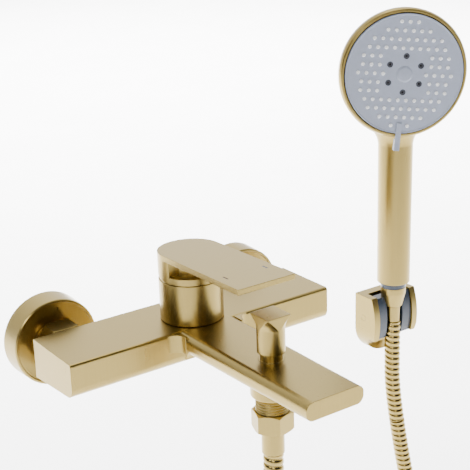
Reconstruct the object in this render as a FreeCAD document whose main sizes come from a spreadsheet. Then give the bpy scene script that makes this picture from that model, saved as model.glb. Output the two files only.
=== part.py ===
import FreeCAD, Part
import math
import os

import Sketcher

# Wall mounted bath mixer with a hand shower: a bar casting on two wall inlets, a flat spout with a
# pull-up diverter, a single lever on an upright cartridge, a hose and a hand shower in a wall holder.
# Millimetres. The origin lies on the wall, midway between the two inlets. +X is to the right, +Y goes
# into the wall and +Z is up, so everything that stands out from the wall has a negative Y.

V = FreeCAD.Vector
os.makedirs("parts", exist_ok=True)
doc = FreeCAD.newDocument("BathMixer")

# ---------------------------------------------------------------- driving dimensions

SIZES = [
    # wall connections, each on an axis along Y
    ("inlet_spacing", 150.0), ("wall_thread_radius", 10.48), ("wall_thread_length", 14.0),
    ("union_thread_radius", 13.22), ("union_length", 21.7), ("union_bore", 7.5),
    ("plate_radius", 30.0), ("plate_front_radius", 29.0), ("plate_depth", 16.6), ("plate_lip", 1.3),
    ("nut_flats", 30.0), ("nut_start", 17.2), ("tail_flange_radius", 12.6), ("tail_radius", 10.4),
    ("tail_length", 20.8), ("tail_bore", 6.5), ("thread_clearance", 0.05), ("seat_gap", 0.05),
    # bar and spout
    ("bar_length", 198.0), ("bar_back", 33.2), ("bar_front", 82.9), ("bar_top", 14.8),
    ("bar_low_front", 8.4), ("bar_low_back", 11.5), ("bar_top_round", 1.8), ("bar_low_round", 6.5),
    ("spout_reach", 209.8), ("spout_root_half", 22.4), ("spout_tip_half", 20.7), ("spout_edge", 5.0),
    ("spout_root_height", 13.4), ("spout_tip_height", 11.6), ("spout_tip_lift", 0.5),
    ("spout_fillet", 7.0), ("corner_fillet", 8.0),
    ("duct_radius", 3.4), ("duct_height", 8.2), ("low_duct_radius", 2.6), ("bore_radius", 4.5),
    ("casting_wall", 4.0), ("chamber_start", 47.0), ("chamber_inner_end", 20.0),
    # cartridge, on an upright axis
    ("cartridge_y", 64.8), ("chamber_radius", 17.5), ("chamber_floor", 8.8), ("neck_radius", 19.2),
    ("neck_top", 40.2), ("sleeve_radius", 20.8), ("sleeve_wall", 1.4), ("sleeve_top", 42.8),
    ("seam", 0.3), ("housing_wall", 1.8), ("housing_floor", 2.3), ("disc_height", 3.0),
    ("carrier_neck", 12.4), ("carrier_top", 41.0), ("pivot_height", 30.0), ("pin_radius", 1.5),
    ("stem_side", 8.6), ("stem_top", 55.0), ("running_gap", 0.05), ("loose_gap", 0.3),
    # lever
    ("lever_top", 61.2), ("lever_reach", 83.2), ("lever_thickness", 3.5), ("lever_rise", 1.6),
    ("lever_ring_top", 47.5), ("lever_neck", 13.5), ("lever_wall_front", 5.9),
    ("lift_slope", 0.268), ("lift_secant", 1.0353),
    ("mark_x", 14.5), ("mark_y", 64.2), ("mark_length", 5.2), ("mark_width", 1.0), ("mark_depth", 0.3),
    # diverter, shower outlet and aerator
    ("diverter_y", 150.6), ("knob_side", 17.2), ("knob_bottom", 20.3), ("knob_top", 44.4),
    ("knob_flare_height", 8.4), ("knob_flare_radius", 11.9), ("bonnet_radius", 6.8), ("bonnet_top", 23.5),
    ("rod_radius", 2.5), ("plug_radius", 6.2), ("plug_height", 2.4), ("seat_height", -1.0),
    ("diverter_bore", 7.0),
    ("collar_radius", 13.25), ("collar_bottom", -8.3), ("outlet_thread_radius", 10.48),
    ("outlet_thread_pitch", 1.814), ("outlet_end", -24.0), ("outlet_nut_flats", 23.0),
    ("outlet_nut_top", -18.2), ("outlet_nut_length", 12.6), ("ferrule_radius", 7.1),
    ("ferrule_end", -47.0), ("aerator_y", 194.0), ("aerator_radius", 10.8), ("aerator_bottom", 4.2),
    # hand shower, on its own upright axis, and its wall holder
    ("hand_x", 219.6), ("hand_y", 19.5), ("hand_z", -29.3), ("hand_turn", -28.5),
    ("grip_low_radius", 13.0), ("grip_top_radius", 13.55), ("head_height", 170.65),
    ("head_radius", 48.2), ("head_front", 22.2), ("head_back", 12.0), ("head_wall", 2.4),
    ("head_fillet", 20.0), ("face_radius", 44.3), ("face_front", 23.2), ("face_thickness", 2.4),
    ("face_gap", 0.8), ("cap_radius", 6.0), ("jet_circle", 13.4), ("jet_radius", 2.3),
    ("tab_width", 4.0), ("tab_inner", 36.5), ("tab_reach", 9.3), ("tube_radius", 5.0),
    ("nipple_radius", 7.0), ("cone_top_radius", 10.2), ("cone_low_radius", 7.5), ("cone_top", -33.6),
    ("cone_shoulder", -38.6),
    ("cone_low", -50.1), ("top_ferrule_radius", 6.0), ("top_ferrule_end", -63.5), ("hose_radius", 6.5),
    ("cradle_half", 17.2), ("cradle_top", -41.4), ("cradle_low", -76.0), ("cradle_front", 18.8),
    ("cradle_back", 5.5), ("pivot_y", 10.0), ("pivot_z", -58.7), ("pivot_radius", 2.5),
    ("slot_width", 16.4), ("seat_clearance", 0.15), ("tilt_room", 3.4), ("side_gap", 0.2),
    ("base_half", 22.8), ("base_top", -40.0), ("base_low", -91.8), ("base_front_top", 19.5),
    ("base_front_low", 16.0), ("base_bulge", 59.0), ("bridge", 2.4),
    ("groove_clearance", 1.7), ("screw_low_z", -82.0), ("screw_pitch", 26.0),
    ("screw_hole_radius", 2.2), ("screw_head_radius", 3.7),
    ("back_plate", 1.8), ("plate_recess", 2.2),
]

sheet = doc.addObject("Spreadsheet::Sheet", "Dims")
for row, (alias, number) in enumerate(SIZES, start=1):
    sheet.set("A%d" % row, alias)
    sheet.set("B%d" % row, repr(number))
    sheet.setAlias("B%d" % row, alias)
doc.recompute()


class Size:
    """A sheet value, or arithmetic on such values, as a number and as the expression that binds it."""

    def __init__(self, text, number):
        self.text = text
        self.number = number

    def __add__(self, other):
        return Size("(%s + %s)" % (self.text, text_of(other)), self.number + number_of(other))

    def __radd__(self, other):
        return self + other

    def __sub__(self, other):
        return Size("(%s - %s)" % (self.text, text_of(other)), self.number - number_of(other))

    def __rsub__(self, other):
        return Size("(%s - %s)" % (text_of(other), self.text), number_of(other) - self.number)

    def __mul__(self, other):
        return Size("(%s * %s)" % (self.text, text_of(other)), self.number * number_of(other))

    def __rmul__(self, other):
        return self * other

    def __truediv__(self, other):
        return Size("(%s / %s)" % (self.text, text_of(other)), self.number / number_of(other))

    def __neg__(self):
        return Size("(0 - %s)" % self.text, -self.number)


def text_of(size):
    return size.text if isinstance(size, Size) else "%.6f" % size


def number_of(size):
    return size.number if isinstance(size, Size) else float(size)


def root(size):
    """Square root of a size."""
    return Size("sqrt(%s)" % size.text, math.sqrt(size.number))


class Sheet:
    """Sheet values by name: D.bar_length is the cell of that alias."""


D = Sheet()
for alias, number in SIZES:
    setattr(D, alias, Size("Dims." + alias, number))

# ---------------------------------------------------------------- building blocks


def bind(item, prop, size):
    """Sets a property from a size, and ties it to the sheet when the size comes from there."""
    if isinstance(size, Size):
        item.setExpression(prop, size.text)
    else:
        item.setExpression(prop, None)
        setattr(item, prop, size)


def place(item, at=(0, 0, 0), axis=(0, 0, 1), angle=0):
    """Gives an object its Placement, with each coordinate and the angle tied to the sheet."""
    base = V(*[number_of(size) for size in at])
    item.Placement = FreeCAD.Placement(base, FreeCAD.Rotation(V(*axis), number_of(angle)))
    for letter, size in zip("xyz", at):
        if isinstance(size, Size):
            item.setExpression("Placement.Base." + letter, size.text)
    if isinstance(angle, Size):
        item.setExpression("Placement.Rotation.Angle", angle.text)
    return item


def outline(body, plane, points, offset=0):
    """
    Closed sketch on one of the body's own planes. A point is (a, b) or (a, b, radius): the edge that
    arrives at a point with a radius is an arc, bending left for a positive radius and right otherwise.
    """
    sketch = body.newObject("Sketcher::SketchObject", "Outline")
    support = [item for item in body.Origin.OriginFeatures if item.Role == plane][0]
    sketch.AttachmentSupport = (support, [""])
    sketch.MapMode = "FlatFace"
    if isinstance(offset, Size):
        sketch.setExpression("AttachmentOffset.Base.z", offset.text)
    count = len(points)
    for index, point in enumerate(points):
        start = V(*[number_of(size) for size in points[index - 1][:2]])
        end = V(*[number_of(size) for size in point[:2]])
        if len(point) == 2:
            sketch.addGeometry(Part.LineSegment(start, end), False)
            continue
        radius = number_of(point[2])
        chord = end - start
        side = V(-chord.y, chord.x, 0).normalize() * math.copysign(1, radius)
        rise = math.sqrt(max(radius * radius - chord.Length * chord.Length / 4, 0))
        middle = (start + end) / 2
        peak = middle - side * (abs(radius) - rise)
        sketch.addGeometry(Part.Arc(start, peak, end), False)
    for index in range(count):
        leaves = 1 if len(points[index]) == 2 or points[index][2:] and number_of(points[index][2]) > 0 else 2
        arrives = 3 - leaves
        after = (index + 1) % count
        next_leaves = 1 if len(points[after]) == 2 or number_of(points[after][2]) > 0 else 2
        sketch.addConstraint(Sketcher.Constraint("Coincident", index, arrives, after, next_leaves))
        for kind, size in (("DistanceX", points[index][0]), ("DistanceY", points[index][1])):
            made = sketch.addConstraint(
                Sketcher.Constraint(kind, -1, 1, index, arrives, number_of(size)))
            if isinstance(size, Size):
                sketch.setExpression("Constraints[%d]" % made, size.text)
        if len(points[index]) == 3:
            size = points[index][2]
            size = size if number_of(size) > 0 else -size
            made = sketch.addConstraint(Sketcher.Constraint("Radius", index, number_of(size)))
            if isinstance(size, Size):
                sketch.setExpression("Constraints[%d]" % made, size.text)
    return sketch


def turned(label, points, axis="z"):
    """Body of revolution. Points are (radius, height), with the height along the body's own axis."""
    body = doc.addObject("PartDesign::Body", label)
    plane = "XZ_Plane" if axis == "z" else "XY_Plane"
    sketch = outline(body, plane, points)
    turn = body.newObject("PartDesign::Revolution", "Turn")
    turn.Profile = sketch
    turn.ReferenceAxis = (sketch, ["V_Axis"])
    turn.Angle = 360
    body.Tip = turn
    return body


def ring(label, inner, outer, low, high, axis="z"):
    """Plain turned ring, or a disc when the inner radius is 0."""
    return turned(label, [(inner, low), (outer, low), (outer, high), (inner, high)], axis)


def padded(label, plane, points, length, offset=0, midplane=False, downwards=False):
    """Body made by padding a closed outline."""
    body = doc.addObject("PartDesign::Body", label)
    pad = body.newObject("PartDesign::Pad", "Pad")
    pad.Profile = outline(body, plane, points, offset)
    bind(pad, "Length", length)
    pad.Midplane = midplane
    pad.Reversed = downwards
    body.Tip = pad
    return body


def sorted_pair(one, other):
    """Two sizes, the lower first."""
    return (one, other) if number_of(one) < number_of(other) else (other, one)


def rod(label, radius, low, high, at=(0, 0, 0), along="z"):
    """Cylinder from low to high along an axis through a point: x, y or z."""
    item = doc.addObject("Part::Cylinder", label)
    bind(item, "Radius", radius)
    bind(item, "Height", high - low)
    turn = {"x": ((0, 1, 0), 90), "y": ((1, 0, 0), -90), "z": ((0, 0, 1), 0)}[along]
    at = list(at)
    number = "xyz".index(along)
    at[number] = at[number] + low
    return place(item, at, *turn)


def block(label, low, high):
    """Box between two corners."""
    item = doc.addObject("Part::Box", label)
    for prop, one, other in zip(("Length", "Width", "Height"), low, high):
        bind(item, prop, other - one)
    return place(item, low)


def cut(label, solid, *tools):
    """The solid less the tools."""
    item = doc.addObject("Part::Cut", label)
    item.Base = solid
    item.Tool = tools[0] if len(tools) == 1 else fuse(label + "_tools", *tools)
    return item


def fuse(label, *solids):
    item = doc.addObject("Part::MultiFuse", label)
    item.Shapes = list(solids)
    return item


def common(label, *solids):
    item = doc.addObject("Part::MultiCommon", label)
    item.Shapes = list(solids)
    return item


NODES = []


def node(name, item):
    """Marks an object as a finished sub-part: its Label is the name of its node."""
    item.Label = name
    NODES.append(item)
    return item


def hex_nut(name, flats, length, bore_points):
    """Hexagon nut along its own Z with chamfered corners; bore_points run up its inside."""
    prism = doc.addObject("Part::Prism", name + "_hexagon")
    prism.Polygon = 6
    corner = flats / math.sqrt(3)
    bind(prism, "Circumradius", corner)
    bind(prism, "Height", length)
    slope = (corner - flats / 2) * 0.577
    envelope = turned(name + "_envelope", bore_points + [
        (flats / 2, length), (corner, length - slope), (corner, slope), (flats / 2, 0)])
    return common(name, prism, envelope)


# ---------------------------------------------------------------- wall connections


def wall_connection(side, name):
    """Everything between the wall and one end of the bar."""
    x = D.inlet_spacing / 2 * side
    rim = D.wall_thread_length
    union = turned("WallUnion", [
        (D.union_bore, rim), (D.wall_thread_radius, rim), (D.wall_thread_radius, 0),
        (D.wall_thread_radius + 1.6, 0), (D.wall_thread_radius + 1.6, -5.0),
        (D.union_thread_radius, -5.0), (D.union_thread_radius, -D.union_length),
        (D.union_bore, -D.union_length)], "y")
    node("wall_union_" + name, place(union, (x, 0, 0)))

    hole = D.union_thread_radius + 4 * D.thread_clearance
    front = -D.plate_depth
    lip = D.plate_front_radius - D.plate_lip
    plate = turned("WallPlate", [
        (D.plate_radius, 0), (D.plate_front_radius + 0.3, front + 0.7),
        (D.plate_front_radius - 0.3, front), (lip, front), (lip - 0.5, front + 1.0),
        (hole + 2.0, front + 3.2), (hole, front + 3.2), (hole, front + 5.0), (hole + 2.0, front + 5.0),
        (lip - 1.6, front + 2.9), (D.plate_radius - 1.6, 0)], "y")
    node("wall_plate_" + name, place(plate, (x, 0, 0)))

    length = D.bar_back - D.seam - D.nut_start
    shoulder = 5.9
    nut = hex_nut("UnionNut", D.nut_flats, length, [
        (D.tail_radius - 0.2, length), (D.tail_radius - 0.2, length - shoulder),
        (D.union_thread_radius + D.thread_clearance, length - shoulder),
        (D.union_thread_radius + D.thread_clearance, 0)][::-1])
    node("union_nut_" + name, place(nut, (x, -D.nut_start, 0), (1, 0, 0), 90))

    washer_end = D.union_length + 2.4
    washer = ring("UnionWasher", D.union_bore, D.tail_flange_radius,
                  -(washer_end - D.seat_gap), -(D.union_length + D.seat_gap), "y")
    node("union_washer_" + name, place(washer, (x, 0, 0)))

    flange = washer_end + 2.5
    tail_end = D.bar_back + D.tail_length - 9.0
    tail = turned("InletTail", [
        (D.tail_bore, -washer_end), (D.tail_flange_radius, -washer_end),
        (D.tail_flange_radius, -flange), (D.tail_radius - 0.4, -flange),
        (D.tail_radius - 0.4, -D.bar_back), (D.tail_radius, -D.bar_back),
        (D.tail_radius, -tail_end), (D.tail_bore, -tail_end)], "y")
    node("inlet_tail_" + name, place(tail, (x, 0, 0)))


wall_connection(-1, "left")
wall_connection(1, "right")

# ---------------------------------------------------------------- body casting


def rounded_block(half, low, high, radius):
    """Rounded rectangle as outline points, counterclockwise from its lower left."""
    return [
        (-half, low + radius), (-half + radius, low, radius), (half - radius, low),
        (half, low + radius, radius), (half, high - radius), (half - radius, high, radius),
        (-half + radius, high), (-half, high - radius, radius)]


def bar():
    """Straight bar across both inlets, with a softly rounded front and a sloping underside."""
    front = -D.bar_front
    return padded("Bar", "YZ_Plane", [
        (-D.bar_back, -D.bar_low_back), (-D.bar_back, D.bar_top),
        (front + D.bar_top_round, D.bar_top), (front, D.bar_top - D.bar_top_round, D.bar_top_round),
        (front, -D.bar_low_front + D.bar_low_round),
        (front + D.bar_low_round, -D.bar_low_front, D.bar_low_round)],
        D.bar_length, midplane=True)


def spout():
    """Flat spout that thins towards its tip: a ruled loft between two rounded rectangles."""
    body = doc.addObject("PartDesign::Body", "Spout")
    inside = D.bar_front - 12.0
    base = outline(body, "XZ_Plane", rounded_block(
        D.spout_root_half, D.bar_top - D.spout_root_height, D.bar_top, D.spout_edge), inside)
    top = D.bar_top + D.spout_tip_lift
    tip = outline(body, "XZ_Plane", rounded_block(
        D.spout_tip_half, top - D.spout_tip_height, top, D.spout_edge), D.spout_reach)
    loft = body.newObject("PartDesign::AdditiveLoft", "Loft")
    loft.Profile = base
    loft.Sections = [tip]
    loft.Ruled = True
    body.Tip = loft
    return body


def spout_underside():
    """Concave fillet under the spout, where it leaves the front of the bar."""
    radius = D.spout_fillet
    low = D.bar_top - D.spout_root_height
    return padded("SpoutFillet", "YZ_Plane", [
        (-D.bar_front + 2.0, low + 1.0), (-(D.bar_front + radius), low + 1.0),
        (-(D.bar_front + radius), low), (-D.bar_front, low - radius, -radius),
        (-D.bar_front + 2.0, low - radius)], 2 * D.spout_root_half - 2 * D.spout_edge, midplane=True)


def spout_corner(side):
    """Concave upright fillet where a side of the spout leaves the front of the bar."""
    radius = D.corner_fillet
    edge = D.spout_root_half
    points = [
        ((edge - 1.5) * side, -D.bar_front + 1.5), ((edge - 1.5) * side, -(D.bar_front + radius)),
        (edge * side, -(D.bar_front + radius)), ((edge + radius) * side, -D.bar_front, -radius * side),
        ((edge + radius) * side, -D.bar_front + 1.5)]
    height = D.spout_root_height - 1.6
    return place(padded("SpoutCorner", "XY_Plane", points, height), (0, 0, D.bar_top - 0.4 - height))


def body_casting():
    """Bar, spout, cartridge neck and outlet collar in one casting, with its sockets and waterways."""
    cartridge = (0, -D.cartridge_y, 0)
    diverter = (0, -D.diverter_y, 0)
    aerator = (0, -D.aerator_y, 0)
    neck = rod("Neck", D.neck_radius, D.chamber_floor, D.neck_top, cartridge)
    collar = place(turned("Collar", [
        (0, D.collar_bottom), (D.collar_radius - 1.5, D.collar_bottom),
        (D.collar_radius, D.collar_bottom + 1.5, 1.5), (D.collar_radius, 4.0), (0, 4.0)]), diverter)
    solid = fuse("CastingSolid", bar(), spout(), spout_underside(), spout_corner(-1), spout_corner(1),
                 neck, collar)

    chamber = rod("Chamber", D.chamber_radius, D.chamber_floor, D.neck_top + 1, cartridge)
    tools = [chamber]
    cross_y = D.cartridge_y - 8.8
    for side in (-1, 1):
        x = D.inlet_spacing / 2 * side
        inlet = (x, 0, 0)
        depth = -(D.bar_back + D.tail_length - 8.0)
        tools.append(rod("Socket", D.tail_radius + D.thread_clearance, depth, 1 - D.bar_back, inlet, "y"))
        tools.append(rod("Inlet", D.tail_bore, -(D.chamber_start + 2), depth + 1, inlet, "y"))
        near, far = sorted_pair(D.chamber_inner_end * side, (D.bar_length / 2 - D.casting_wall) * side)
        tools.append(block(
            "WaterChamber", (near, -(D.bar_front - D.casting_wall - 1.0), D.casting_wall - D.bar_low_front),
            (far, -D.chamber_start, D.bar_top - D.casting_wall)))
        cross = sorted_pair(8.0 * side, (D.chamber_inner_end + 2.0) * side)
        tools.append(rod("Cross", D.bore_radius, *cross, (0, -cross_y, 0), "x"))
        tools.append(rod("Port", 3.2, 0, D.chamber_floor + 1, (8.0 * side, -(cross_y + 2.0), 0)))
    mixed_y = D.cartridge_y + 8.7
    low_z = D.duct_height - D.low_duct_radius + 0.1
    rise_y = D.bar_front + 3.1
    tools.append(rod("MixedPort", D.low_duct_radius, low_z, D.chamber_floor + 1, (0, -mixed_y, 0)))
    tools.append(rod("LowDuct", D.low_duct_radius, -rise_y, -mixed_y, (0, 0, low_z), "y"))
    socket_floor = D.bar_top - 3.4
    tools.append(rod("DiverterBore", D.diverter_bore, D.seat_height, socket_floor + 1, diverter))
    tools.append(rod("BonnetSocket", D.diverter_bore + 1.05, socket_floor, D.bar_top + 3, diverter))
    tools.append(rod("HighDuct", D.duct_radius, -D.aerator_y, -rise_y, (0, 0, D.duct_height), "y"))
    tools.append(rod("AeratorSocket", D.aerator_radius, 0, D.bar_top - 2.6, aerator))
    thread = D.outlet_thread_radius + D.thread_clearance
    tools.append(rod("OutletSocket", thread, D.collar_bottom - 1, D.seat_height - 2.5, diverter))
    tools.append(rod("ValvePort", D.bore_radius, D.seat_height - 3, D.seat_height + 1, diverter))
    node("body_casting", cut("Casting", solid, *tools))


body_casting()

# ---------------------------------------------------------------- cartridge


def upright(item, angle=0):
    """Puts a turned piece on the cartridge's axis."""
    return place(item, (0, -D.cartridge_y, 0), (0, 0, 1), angle)


def ports(radius, low, high):
    """Two inlet ports and the mixed port, as tools on the cartridge's axis."""
    return [
        rod("PortTool", radius, low, high, (x, -D.cartridge_y + y, 0))
        for x, y in ((-8.0, 6.8), (8.0, 6.8), (0.0, -8.7))]


def cartridge():
    """The sleeve, the mixing cartridge in it and the nut that clamps it."""
    sleeve_base = D.bar_top + D.seam
    inner = D.sleeve_radius - D.sleeve_wall
    sleeve = turned("Sleeve", [
        (inner, sleeve_base), (D.sleeve_radius - 0.4, sleeve_base),
        (D.sleeve_radius, sleeve_base + 0.4), (D.sleeve_radius, D.sleeve_top - 0.4),
        (D.sleeve_radius - 0.4, D.sleeve_top), (14.2, D.sleeve_top),
        (14.2, D.sleeve_top - D.sleeve_wall), (inner, D.sleeve_top - D.sleeve_wall)])
    node("cartridge_sleeve", upright(sleeve))

    seal_low = D.chamber_floor + D.seat_gap
    seal_high = seal_low + 0.8
    seal = upright(ring("Seal", 0, D.chamber_radius - 0.5, seal_low, seal_high))
    node("cartridge_seal", cut("SealCut", seal, *ports(3.6, seal_low - 1, seal_high + 1)))

    outer = D.chamber_radius - 2 * D.running_gap
    low = seal_high + D.seat_gap
    floor = low + D.housing_floor
    lip = D.carrier_neck + 0.6
    top = D.neck_top - 5.4
    housing = turned("Housing", [
        (0, low), (outer, low), (outer, top), (lip, top), (lip, top - 1.8),
        (outer - D.housing_wall, top - 1.8), (outer - D.housing_wall, floor), (0, floor)])
    node("cartridge_housing", cut("HousingCut", upright(housing), *ports(3.2, low - 1, floor + 1)))

    fixed_low = floor + D.seat_gap
    fixed_high = fixed_low + D.disc_height
    inside = outer - D.housing_wall
    fixed = upright(ring("FixedDisc", 0, inside - 0.8, fixed_low, fixed_high))
    node("fixed_disc", cut("FixedDiscCut", fixed, *ports(3.2, fixed_low - 1, fixed_high + 1)))

    moving_low = fixed_high + D.seat_gap
    moving_high = moving_low + D.disc_height + 0.5
    moving = turned("MovingDisc", [
        (0, moving_low + 1.0), (6.5, moving_low + 1.0), (6.5, moving_low), (11.2, moving_low),
        (11.2, moving_high), (4.2, moving_high), (4.2, moving_high - 1.7), (0, moving_high - 1.7)])
    node("moving_disc", upright(moving))

    carrier_low = moving_high + 0.4
    wide_top = top - 1.8 - D.loose_gap
    solid = turned("CarrierSolid", [
        (0, carrier_low), (inside - D.loose_gap, carrier_low), (inside - D.loose_gap, wide_top),
        (D.carrier_neck, wide_top), (D.carrier_neck, D.carrier_top), (0, D.carrier_top)])
    slot_half = D.stem_side / 2 + D.loose_gap
    slot = block("StemSlot", (-slot_half, -D.cartridge_y - 8.5, carrier_low - 1),
                 (slot_half, -D.cartridge_y + 8.5, D.carrier_top + 1))
    pin_half = inside - D.loose_gap - 0.5
    pivot = (0, -D.cartridge_y, D.pivot_height)
    pin_hole = rod("PinHole", D.pin_radius, -pin_half, pin_half, pivot, "x")
    node("cartridge_carrier", cut("Carrier", upright(solid), slot, pin_hole))
    node("pivot_pin", rod("Pin", D.pin_radius, -pin_half, pin_half, pivot, "x"))

    half = D.stem_side / 2
    shank = block("Shank", (-half, -D.cartridge_y - half, D.pivot_height - 5.0),
                  (half, -D.cartridge_y + half, D.stem_top))
    finger_low = moving_high - 1.2
    finger = rod("Finger", 3.0, finger_low, D.pivot_height, (0, -D.cartridge_y, 0))
    stem = fuse("StemSolid", shank, finger)
    eye = rod("Eye", D.pin_radius + D.running_gap, -(half + 1), half + 1, pivot, "x")
    node("lever_stem", cut("Stem", stem, eye))

    clamp = turned("ClampNut", [
        (lip, top + D.seat_gap), (outer, top + D.seat_gap), (outer, D.neck_top),
        (outer - 1.0, D.neck_top + 0.6), (lip + 1.0, D.neck_top + 0.6), (lip, D.neck_top)])
    node("clamp_nut", upright(clamp))


cartridge()

# ---------------------------------------------------------------- lever


def on_lever_top(item):
    """Puts a piece drawn from the lever's top face on that face, which rises towards the tip."""
    return place(item, (0, -D.cartridge_y, D.lever_top), (1, 0, 0), -D.lever_rise)


def mark_outline(side):
    """Short dash along the lever, left or right of its middle."""
    x = D.mark_x * side
    half = D.mark_width / 2
    return [(x - half, -D.mark_y), (x + half, -D.mark_y), (x + half, D.mark_length - D.mark_y),
            (x - half, D.mark_length - D.mark_y)]


def lever():
    """Flat lever over the cartridge, with its skirt, its fixing screw and the two temperature marks."""
    radius = D.sleeve_radius
    low = D.sleeve_top + D.seam
    axis = (0, -D.cartridge_y, 0)
    buried = D.lever_top - D.lever_thickness + 1.2
    plan = place(padded("LeverPlan", "XY_Plane", [
        (-radius, -D.lever_reach), (radius, -D.lever_reach), (radius, 0), (0, radius, radius),
        (-radius, 0, radius)], 16.0), (0, -D.cartridge_y, D.lever_top - 8.0))
    slab = on_lever_top(padded("LeverSlab", "XY_Plane", [
        (-radius - 2.0, -D.lever_reach - 2.0), (radius + 2.0, -D.lever_reach - 2.0),
        (radius + 2.0, radius + 2.0), (-radius - 2.0, radius + 2.0)], D.lever_thickness, downwards=True))
    plate = common("LeverPlate", plan, slab)
    skirt = rod("Skirt", radius, low, D.lever_ring_top, axis)
    back = common("BackWall", rod("BackRound", radius, low, buried, axis), block(
        "BackHalf", (-radius - 1, -D.cartridge_y - D.lever_wall_front, low),
        (radius + 1, -D.cartridge_y + radius + 1, buried)))
    neck = rod("LeverNeck", D.lever_neck, low, buried, axis)
    solid = fuse("LeverSolid", plate, skirt, back, neck)

    half = D.stem_side / 2 + D.running_gap
    socket = block("StemSocket", (-half, -D.cartridge_y - half, low - 1),
                   (half, -D.cartridge_y + half, D.stem_top + 0.4))
    heel_rise = D.pivot_height + (D.sleeve_top - D.pivot_height + 0.15) * D.lift_secant
    heel = padded("Heel", "YZ_Plane", [
        ((low - heel_rise) / D.lift_slope, low), (-2.0, low - 6.0), (radius + 4.0, low - 6.0),
        (radius + 4.0, heel_rise + (radius + 4.0) * D.lift_slope)], 2 * radius + 4, midplane=True)
    place(heel, (0, -D.cartridge_y, 0))
    screw_z = D.stem_top - 3.4
    screw_hole = rod("ScrewHole", 2.0 + D.running_gap, half - 1, radius + 1,
                     (0, -D.cartridge_y, screw_z), "y")
    recesses = [on_lever_top(padded(
        "Recess", "XY_Plane", mark_outline(side), D.mark_depth, downwards=True)) for side in (-1, 1)]
    node("lever_handle", cut("Lever", solid, socket, heel, screw_hole, *recesses))

    screw_end = D.stem_side / 2 + D.running_gap / 2
    node("lever_screw", rod("Screw", 2.0, screw_end + 0.05, screw_end + 9, (0, -D.cartridge_y, screw_z), "y"))
    for side, name in ((-1, "hot_mark"), (1, "cold_mark")):
        node(name, on_lever_top(padded("Mark", "XY_Plane", mark_outline(side), D.mark_depth, downwards=True)))


lever()

# ---------------------------------------------------------------- diverter


def helix_spring(name, radius, wire, low, high, turns, at):
    """Closed wire swept along a helix between two heights."""
    path = Part.makeHelix((high - low - 2 * wire) / turns, high - low - 2 * wire, radius)
    start = V(radius, 0, 0)
    section = Part.Wire(Part.makeCircle(wire, start, V(0, 1, 0)))
    solid = Part.Wire(path.Edges).makePipeShell([section], True, True)
    item = doc.addObject("Part::Feature", name)
    item.Shape = solid
    item.Placement = FreeCAD.Placement(V(*at) + V(0, 0, low + wire), FreeCAD.Rotation())
    return node(name, item)


def diverter():
    """Pull-up knob, its rod and plug, the gland it slides in and its return spring."""
    at = (0, -D.diverter_y, 0)
    half = D.knob_side / 2
    flare = D.knob_top - D.knob_flare_height
    rim = D.knob_top - 0.7
    roof = D.bonnet_top + 0.8
    trumpet = place(turned("Trumpet", [
        (D.bonnet_radius + 0.15, D.knob_bottom), (half, D.knob_bottom), (half, flare),
        (D.knob_flare_radius, rim, -13.5), (D.knob_flare_radius, D.knob_top),
        (0, D.knob_top), (0, D.knob_top - 10.0), (D.rod_radius + 0.02, D.knob_top - 10.0),
        (D.rod_radius + 0.02, roof), (D.bonnet_radius + 0.15, roof)]), at)
    square = block("KnobSquare", (-half, -D.diverter_y - half, D.knob_bottom - 1),
                   (half, -D.diverter_y + half, D.knob_top + 1))
    node("diverter_knob", common("Knob", trumpet, square))

    socket_floor = D.bar_top - 3.4
    groove = 16.2
    bonnet = turned("Bonnet", [
        (D.rod_radius + D.running_gap, socket_floor + 0.1), (D.diverter_bore + 1.0, socket_floor + 0.1),
        (D.diverter_bore + 1.0, D.bar_top + 0.4), (D.bonnet_radius, D.bar_top + 0.4),
        (D.bonnet_radius, D.bonnet_top), (D.rod_radius + D.running_gap, D.bonnet_top),
        (D.rod_radius + D.running_gap, groove + 2.2), (D.rod_radius + 2.0, groove + 2.2),
        (D.rod_radius + 2.0, groove), (D.rod_radius + D.running_gap, groove)])
    node("diverter_bonnet", place(bonnet, at))

    o_ring = doc.addObject("Part::Torus", "DiverterRing")
    bind(o_ring, "Radius1", D.rod_radius + 1.0)
    o_ring.Radius2 = 0.9
    node("diverter_o_ring", place(o_ring, (0, -D.diverter_y, groove + 1.1)))

    plug_low = D.seat_height + 0.1
    plug_top = plug_low + D.plug_height
    shaft = turned("DiverterRod", [
        (0, plug_low), (1.5, plug_low), (1.5, plug_top), (D.rod_radius, plug_top),
        (D.rod_radius, D.knob_top - 10.2), (0, D.knob_top - 10.2)])
    node("diverter_rod", place(shaft, at))
    node("diverter_plug", place(ring("Plug", 1.52, D.plug_radius, plug_low, plug_top - 0.05), at))
    helix_spring("diverter_spring", number_of(D.rod_radius) + 1.7, 0.35, number_of(plug_top) + 0.05,
                 number_of(socket_floor) + 0.05, 3, (0, -number_of(D.diverter_y), 0))


diverter()

# ---------------------------------------------------------------- aerator and shower outlet


def aerator():
    """Straightener in the underside of the spout's tip."""
    at = (0, -D.aerator_y, 0)
    outer = D.aerator_radius - D.running_gap
    roof = D.bar_top - 2.7
    housing = turned("AeratorHousing", [
        (8.6, D.aerator_bottom), (outer - 0.6, D.aerator_bottom), (outer, D.aerator_bottom + 0.6),
        (outer, roof), (5.0, roof), (5.0, roof - 1.2), (8.6, roof - 1.2)])
    node("aerator_housing", place(housing, at))
    low = D.aerator_bottom + 1.4
    node("aerator_insert", place(ring("AeratorInsert", 0, 8.6 - D.running_gap, low, roof - 1.3), at))


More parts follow.
